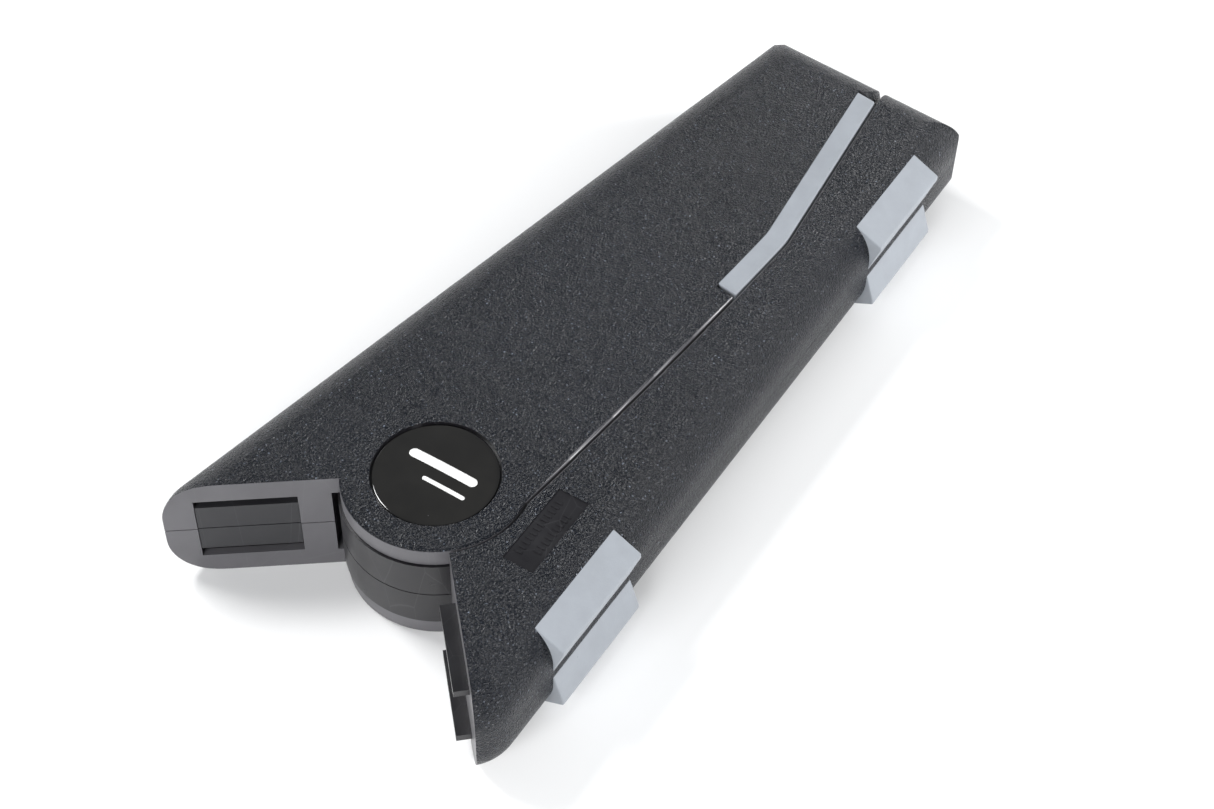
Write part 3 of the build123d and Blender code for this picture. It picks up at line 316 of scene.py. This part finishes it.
grain = grain_plastic("abs_grain")
smooth = smooth_plastic("abs_smooth")
dark = smooth_plastic("abs_dark_smooth", base=(0.0105, 0.0100, 0.0120), rough=0.32)
cover_mat = smooth_plastic("abs_cover", base=(0.022, 0.022, 0.025), rough=0.48)
rubber_mat = rubber("rubber_grey")
zinc = metal("zinc_steel")
spring = metal("spring_steel", base=(0.30, 0.30, 0.32), rough=0.36)
badge_mat = badge_gloss("badge_black")
white = print_white("badge_print")
glide = acetal("acetal_natural")


# ------------------------------------------------------------------ CAD nodes: materials
def set_mats(o, *mats):
    o.data.materials.clear()
    for x in mats:
        o.data.materials.append(x)


def in_upper(side, co):
    return co.copy() if side == "upper" else Vector((co.x, co.y, 2 * H - co.z))


def paint_shell(o, side, kind):
    """Grain on the outer faces, plain satin on end faces, hub sides, seams and inside."""
    set_mats(o, grain, smooth, dark)
    out = unit(A_OUT_U + 90) if kind == "upright" else unit(0)
    out_d, out_r = (OUT_U, ROUND_U[0]) if kind == "upright" else (OUT_B, ROUND_B[0])
    far = unit(A_FAR + 90)
    far_d = far.x * FAR_P[0] + far.y * FAR_P[1]
    end_n = unit(A_END_U + 90) if kind == "upright" else unit(A_END_B - 90)
    for p in o.data.polygons:
        c = in_upper(side, p.center / MM)
        n = p.normal.copy()
        if side == "lower":
            n.z = -n.z
        r = math.hypot(c.x, c.y)
        idx = 1
        if n.z > 0.93 and c.z > 42.2:
            idx = 0
        if n.dot(out) > 0.04 and c.dot(out) > out_d - out_r - 0.3 and n.z > -0.3:
            idx = 0
        if n.dot(far) > 0.04 and c.dot(far) > far_d - ROUND_FAR[0] - 0.3 and n.z > -0.3:
            idx = 0
        if c.y > 225 and n.z > 0.03 and c.z > 33.5:
            idx = 0
        if n.dot(far) > 0.98 and 5.0 < far_d - c.dot(far) < 7.0:
            idx = 1
        if r < 33 and n.z > 0.3 and c.z > 41.9:
            idx = 0
        if n.dot(end_n) > 0.985 and abs(c.dot(end_n)) < 1.0:
            idx = 1
        if kind == "upright" and r < 20.6 and c.z < 42.95:
            idx = 2
        if kind == "base":
            if 35.0 < c.x < 46.1 and -15.3 < c.y < 15.8 and 42.0 < c.z < 42.95:
                idx = 2
            if c.dot(end_n) > 0.3:
                idx = 2
        p.material_index = idx


for side in SIDES:
    paint_shell(nodes[f"upright_shell_{side}"], side, "upright")
    paint_shell(nodes[f"base_shell_{side}"], side, "base")
    set_mats(nodes[f"upright_cover_{side}"], cover_mat)
    for p in nodes[f"upright_cover_{side}"].data.polygons:
        p.material_index = 0
    set_mats(nodes[f"base_cover_{side}"], cover_mat)
    for n in ("upright_cover_screws", "base_cover_screws", "pivot_washer", "hinge_leaf", "hinge_screws", "pivot_bolt", "pivot_nut"):
        set_mats(nodes[f"{n}_{side}"], zinc)
    set_mats(nodes[f"pivot_disc_spring_{side}"], spring)
    set_mats(nodes[f"pivot_glide_washer_{side}"], glide)
    set_mats(nodes[f"hub_badge_{side}"], badge_mat)
set_mats(nodes["hinge_pin"], zinc)


# ------------------------------------------------------------------ mesh helpers
def make_object(name, verts, faces, mat, body, replaced=()):
    me = bpy.data.meshes.new(name)
    me.from_pydata([tuple(Vector(v) * MM) for v in verts], [], faces)
    me.validate()
    bm = bmesh.new()
    bm.from_mesh(me)
    bmesh.ops.remove_doubles(bm, verts=bm.verts, dist=1e-7)
    bmesh.ops.recalc_face_normals(bm, faces=bm.faces)
    bm.to_mesh(me)
    bm.free()
    for p in me.polygons:
        p.use_smooth = True
    o = bpy.data.objects.new(name, me)
    bpy.context.scene.collection.objects.link(o)
    me.materials.append(mat)
    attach(o, body)
    if replaced:
        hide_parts(*replaced)
    return o


def rounded(points, radii, seg=6):
    """Closed polygon with its corners rounded."""
    out = []
    n = len(points)
    for i, (p, r) in enumerate(zip(points, radii)):
        p = Vector((*p, 0))
        if r <= 0:
            out.append((p.x, p.y))
            continue
        a = (Vector((*points[i - 1], 0)) - p).normalized()
        b = (Vector((*points[(i + 1) % n], 0)) - p).normalized()
        ang = a.angle(b)
        d = r / math.tan(ang / 2)
        s, e = p + a * d, p + b * d
        c = p + (a + b).normalized() * (r / math.sin(ang / 2))
        v0, v1 = s - c, e - c
        for k in range(seg + 1):
            t = k / seg
            v = v0.lerp(v1, t)
            v = v.normalized() * r
            out.append((c.x + v.x, c.y + v.y))
    return out


def inset_loop(loop, d):
    """The closed section moved inwards by d along its vertex normals."""
    n = len(loop)
    area = sum(loop[i][0] * loop[(i + 1) % n][1] - loop[(i + 1) % n][0] * loop[i][1] for i in range(n))
    sgn = 1 if area > 0 else -1
    res = []
    for i in range(n):
        p0, p1, p2 = (Vector((*loop[j % n], 0)) for j in (i - 1, i, i + 1))
        t = ((p1 - p0).normalized() + (p2 - p1).normalized()).normalized()
        m = Vector((-t.y, t.x, 0)) * sgn
        q = p1 + m * d
        res.append((q.x, q.y))
    return res


def loft(loops):
    """Vertices and faces through a list of closed loops of equal length, with both ends closed."""
    n = len(loops[0])
    verts = [v for lp in loops for v in lp]
    faces = []
    for i in range(len(loops) - 1):
        for j in range(n):
            a, b = i * n + j, i * n + (j + 1) % n
            faces.append((a, b, b + n, a + n))
    faces.append(tuple(range(n)))
    faces.append(tuple((len(loops) - 1) * n + j for j in range(n)))
    return verts, faces


def mirror_side(verts, side):
    return verts if side == "upper" else [(x, y, 2 * H - z) for x, y, z in verts]


# ------------------------------------------------------------------ rubber feet
def foot_section():
    """Closed section of a foot in x and z."""
    cx, cz = OUT_B - ROUND_B[0], T - ROUND_B[1]
    top = (53.5, 42.09)
    tip, low = (66.6, 35.6), (66.6, 34.0)
    zb = Z0 + 0.11
    sx = low[0] - (low[1] - zb) * math.tan(rad(18.5))
    a0 = math.atan2((top[1] - cz) / ROUND_B[1], (top[0] - cx) / ROUND_B[0])
    arc = [(cx + (ROUND_B[0] - 0.98) * math.cos(a0 * k / 10), cz + (ROUND_B[1] - 0.98) * math.sin(a0 * k / 10)) for k in range(11)]
    pts = [(62.05, zb), (sx, zb), low, tip, top] + arc[::-1]
    radii = [0, 0.5, 0.75, 0.75, 0.12] + [0] * 11
    return rounded(pts, radii)


def densify(loop, step):
    out = []
    n = len(loop)
    for i in range(n):
        a, b = loop[i], loop[(i + 1) % n]
        d = math.dist(a, b)
        k = max(1, int(round(d / step)))
        for j in range(k):
            t = j / k
            out.append((a[0] + (b[0] - a[0]) * t, a[1] + (b[1] - a[1]) * t))
    return out


def make_foot(name, y0, y1, side):
    sec = densify(foot_section(), 0.8)
    rb = 0.55
    stations = sorted([(y0 + rb * (1 - math.cos(a)), rb * (1 - math.sin(a))) for a in [k / 5 * math.pi / 2 for k in range(6)]])
    mid = [(y0 + rb + (y1 - y0 - 2 * rb) * k / 44, 0.0) for k in range(1, 44)]
    end = [(y0 + y1 - y, d) for y, d in stations[::-1]]
    loops = []
    for y, d in stations + mid + end:
        lp = inset_loop(sec, d) if d > 1e-6 else sec
        loops.append([(x, y, z) for x, z in lp])
    verts, faces = loft(loops)
    # the thin inner lip is slightly ragged, and the body is not perfectly flat
    moved = []
    for x, y, z in verts:
        k = max(0.0, 1 - abs(x - 53.5) / 0.8) * (1 if z > 41 else 0)
        j = noise.noise(Vector((y * 0.9, 3.1, 0 if side == "upper" else 9.0))) * 0.28
        w = -abs(noise.noise(Vector((x * 0.12, y * 0.10, z * 0.12)))) * 0.08 - 0.005
        moved.append((x + k * j + (w if x > 62.8 else 0), y, z - k * abs(j) * 0.35))
    return make_object(f"{name}_{side}_rubber", mirror_side(moved, side), faces, rubber_mat, f"base_{side}", (f"{name}_{side}",))


for side in SIDES:
    make_foot("front_foot", -30.0, 13.4, side)
    make_foot("rear_foot", 167.5, 210.3, side)


# ------------------------------------------------------------------ inner edge curve
def edge_curve(shift=0.0, n_arc=60, n_far=50):
    """Points (x, y) and directions along the arms' inner edge, from the hub to the far end."""
    (x0, y0), (x1, y1), (x2, y2) = EDGE
    # circle through the three points
    d = 2 * (x0 * (y1 - y2) + x1 * (y2 - y0) + x2 * (y0 - y1))
    ux = ((x0 * x0 + y0 * y0) * (y1 - y2) + (x1 * x1 + y1 * y1) * (y2 - y0) + (x2 * x2 + y2 * y2) * (y0 - y1)) / d
    uy = ((x0 * x0 + y0 * y0) * (x2 - x1) + (x1 * x1 + y1 * y1) * (x0 - x2) + (x2 * x2 + y2 * y2) * (x1 - x0)) / d
    r = math.dist((ux, uy), (x0, y0))
    a0, a2 = math.atan2(y0 - uy, x0 - ux), math.atan2(y2 - uy, x2 - ux)
    pts = []
    for k in range(n_arc + 1):
        a = a0 + (a2 - a0) * k / n_arc
        pts.append(Vector((ux + r * math.cos(a), uy + r * math.sin(a), 0)))
    far = unit(A_EDGE_FAR)
    corner = Vector((x2, y2, 0))
    t_in = (pts[-1] - pts[-2]).normalized()
    turn = t_in.angle(far)
    tl = BEND_R * math.tan(turn / 2)
    pts = [p for p in pts if (p - corner).length > tl]
    s = corner - t_in * tl
    e = corner + far * tl
    c = s + Vector((-t_in.y, t_in.x, 0)) * BEND_R
    for k in range(9):
        a = turn * k / 8
        v = s - c
        v.rotate(Matrix.Rotation(a, 3, "Z"))
        pts.append(c + v)
    for k in range(1, n_far + 1):
        pts.append(e + far * (92.0 * k / n_far))
    return [p + Vector((shift, 0, 0)) for p in pts]


def clip_curve(pts, f0, f1):
    """The part of the curve where f0 and f1 are both positive, with exact ends."""
    out = []
    for a, b in zip(pts, pts[1:]):
        for p in (a, b):
            if f0(p) >= 0 and f1(p) >= 0 and (not out or (out[-1] - p).length > 1e-4):
                out.append(p)
        for f in (f0, f1):
            if f(a) * f(b) < 0:
                t = f(a) / (f(a) - f(b))
                q = a.lerp(b, t)
                if min(f0(q), f1(q)) > -1e-6 and all((q - o).length > 1e-4 for o in out):
                    out.append(q)
    return sorted(out, key=lambda p: p.y)


def sweep_edge(pts, section, u_dir, z_bevel):
    """Loft of a section (depth from the edge, z) along the curve, each section along u_dir."""
    loops = []
    total = [0.0]
    for a, b in zip(pts, pts[1:]):
        total.append(total[-1] + (b - a).length)
    for i, p in enumerate(pts):
        t = (pts[min(i + 1, len(pts) - 1)] - pts[max(i - 1, 0)]).normalized()
        nrm = Vector((-t.y, t.x, 0))
        k = 1.0 / max(0.3, abs(nrm.dot(u_dir)))
        d = min(total[i], total[-1] - total[i])
        ins = 0.0
        if d < z_bevel:
            ins = z_bevel - math.sqrt(max(0.0, z_bevel**2 - (z_bevel - d) ** 2))
        sec = inset_loop(section, ins) if ins > 1e-6 else section
        loops.append([(p.x + u_dir.x * s * k, p.y + u_dir.y * s * k, z) for s, z in sec])
    return loops


def with_ends(pts, bevel, n=4):
    """Adds close stations at both ends, for a rounded end edge."""
    def along(d, rev):
        seq = pts[::-1] if rev else pts
        left = d
        for a, b in zip(seq, seq[1:]):
            L = (b - a).length
            if left <= L:
                return a.lerp(b, left / L)
            left -= L
    extra = [along(bevel * (1 - math.cos(k / n * math.pi / 2)), r) for r in (False, True) for k in range(1, n + 1)]
    keep = [p for p in pts[1:-1] if (p - pts[0]).length > bevel * 1.2 and (p - pts[-1]).length > bevel * 1.2]
    return sorted([pts[0], pts[-1]] + extra + keep, key=lambda p: p.y)


def make_strip(side):
    u = -unit(-9.3)
    across = Vector((-u.y, u.x, 0))
    if across.y < 0:
        across = -across
    a, b = Vector((38.9, 114.0, 0)), Vector((32.7, 225.9, 0))
    pts = clip_curve(edge_curve(), lambda p: (p - a).dot(across) - 0.05, lambda p: (b - p).dot(across) - 0.05)
    pts = with_ends(pts, 0.35)
    sec = densify(rounded([(0, 31.0), (0, 43.0), (7.35, 43.0), (7.35, 40.85), (2.15, 40.85), (2.15, 31.0)], [0.5, 0.7, 0.18, 0.2, 0.2, 0.3]), 0.6)
    loops = sweep_edge(pts, sec, u, 0.35)
    verts, faces = loft(loops)
    moved = []
    for x, y, z in verts:
        if z > 42.6:
            z = min(42.995, z + noise.noise(Vector((x * 0.25, y * 0.12, 1.7))) * 0.035 - 0.02)
        moved.append((x, y, z))
    return make_object(f"lean_strip_{side}_rubber", mirror_side(moved, side), faces, rubber_mat, f"upright_{side}", (f"lean_strip_{side}",))


def make_pad(side):
    u = Vector((1, 0, 0))
    pts = clip_curve(edge_curve(ARM_GAP), lambda p: p.y - 52.05, lambda p: 127.95 - p.y)
    pts = with_ends(pts, 0.4)
    ribs = []
    z_lo, z_hi = 27.05, 38.45
    n = 46
    for k in range(n + 1):
        z = z_lo + 0.5 + (z_hi - z_lo - 1.0) * k / n
        ribs.append((0.10 + 0.14 * (0.5 - 0.5 * math.cos((z - z_lo) / (z_hi - z_lo) * 2 * math.pi * 5)), z))
    sec = [(2.15, z_hi), (2.15, z_lo), (0.45, z_lo), (0.24, z_lo + 0.18)] + ribs + [(0.24, z_hi - 0.18), (0.45, z_hi)]
    loops = sweep_edge(pts, sec, u, 0.35)
    verts, faces = loft(loops)
    return make_object(f"base_rest_pad_{side}_rubber", mirror_side(verts, side), faces, rubber_mat, f"base_{side}", (f"base_rest_pad_{side}",))


for side in SIDES:
    make_strip(side)
    make_pad(side)


# ------------------------------------------------------------------ plain mark on the badge
CROWN, RIM, BADGE_R = 42.92, 42.3, 19.85
DOME_R = (BADGE_R**2 + (CROWN - RIM) ** 2) / (2 * (CROWN - RIM))


def dome_z(x, y):
    return CROWN - DOME_R + math.sqrt(DOME_R**2 - x * x - y * y)


def bar(cx, cy, w, h, ang, lift=0.03, nx=48, ny=6):
    """A thin printed bar with rounded ends that follows the dome."""
    ca, sa = math.cos(rad(ang)), math.sin(rad(ang))
    verts, faces = [], []
    for layer in (0, 1):
        for i in range(nx + 1):
            for j in range(ny + 1):
                u = -w / 2 * math.cos(math.pi * i / nx)
                half = h / 2
                over = abs(u) - (w / 2 - h / 2)
                if over > 0:
                    half = math.sqrt(max(0.0, (h / 2) ** 2 - over**2)) if over < h / 2 else 0.0
                    half = max(half, 0.02)
                v = -half + 2 * half * j / ny
                x, y = cx + u * ca - v * sa, cy + u * sa + v * ca
                verts.append((x, y, dome_z(x, y) + (lift if layer == 0 else -0.05)))
    k = (nx + 1) * (ny + 1)
    for i in range(nx):
        for j in range(ny):
            a = i * (ny + 1) + j
            faces.append((a, a + ny + 1, a + ny + 2, a + 1))
            faces.append((k + a, k + a + 1, k + a + ny + 2, k + a + ny + 1))
    for i in range(nx):
        a, b = i * (ny + 1), (i + 1) * (ny + 1)
        faces.append((a, a + k, b + k, b))
        a, b = a + ny, b + ny
        faces.append((a, b, b + k, a + k))
    for i in (0, nx):
        for j in range(ny):
            a = i * (ny + 1) + j
            faces.append((a, a + 1, a + 1 + k, a + k) if i == 0 else (a, a + k, a + 1 + k, a + 1))
    return verts, faces


def make_mark(side):
    verts, faces = [], []
    for cx, cy, w, h in ((0.5, 3.2, 25.0, 3.4), (5.2, -3.4, 15.6, 1.5)):
        ang = 0.0
        v, f = bar(cx, cy, w, h, ang)
        faces += [tuple(i + len(verts) for i in q) for q in f]
        verts += v
    # seen from outside, the mark on the underside reads the same way round
    if side == "lower":
        verts = [(-x, y, z) for x, y, z in verts]
    return make_object(f"badge_mark_{side}", mirror_side(verts, side), faces, white, f"upright_{side}")


for side in SIDES:
    make_mark(side)

# ------------------------------------------------------------------ floor
bpy.ops.mesh.primitive_grid_add(x_subdivisions=8, y_subdivisions=8, size=6.0, location=(0, 0, 0))
floor = bpy.context.object
floor.name = "floor"
fm = Mat("floor_paper")
fn = fm.noise(3.0, 3.0, 0.5)
fm.link(fm.mix(fm.map(fn.outputs["Fac"], 0.3, 0.7, 0.0, 1.0), (0.90, 0.90, 0.90), (0.92, 0.92, 0.92)), fm.b.inputs["Base Color"])
fm.set(Roughness=0.9, Specular_IOR_Level=0.1)
floor.data.materials.append(fm.m)

# ------------------------------------------------------------------ light
bpy.context.scene.view_settings.view_transform = "Standard"
world = bpy.data.worlds.new("studio")
bpy.context.scene.world = world
world.use_nodes = True
world.node_tree.nodes["Background"].inputs[0].default_value = (0.88, 0.94, 1.0, 1)
world.node_tree.nodes["Background"].inputs[1].default_value = 0.19


def softbox(name, direction, dist, w, h, power, color=(1, 1, 1), at=(0.0, 0.09, 0.0)):
    d = bpy.data.lights.new(name, "AREA")
    d.shape = "RECTANGLE"
    d.size, d.size_y = w, h
    d.energy = power
    d.color = color
    o = bpy.data.objects.new(name, d)
    bpy.context.scene.collection.objects.link(o)
    v = Vector(direction).normalized()
    o.location = Vector(at) + v * dist
    o.rotation_euler = v.to_track_quat("Z", "Y").to_euler()
    return o


softbox("key_back_right", (0.76, 0.54, 0.38), 1.6, 0.6, 0.35, 29)
softbox("top_left", (-0.62, -0.05, 0.78), 1.7, 0.55, 0.45, 20)
softbox("front_top", (0.10, -0.90, 0.46), 1.8, 1.0, 0.7, 28)
softbox("back", (-0.20, 0.95, 0.20), 1.9, 1.1, 0.30, 7)
softbox("left", (-0.94, -0.20, 0.25), 2.0, 0.8, 0.5, 5)
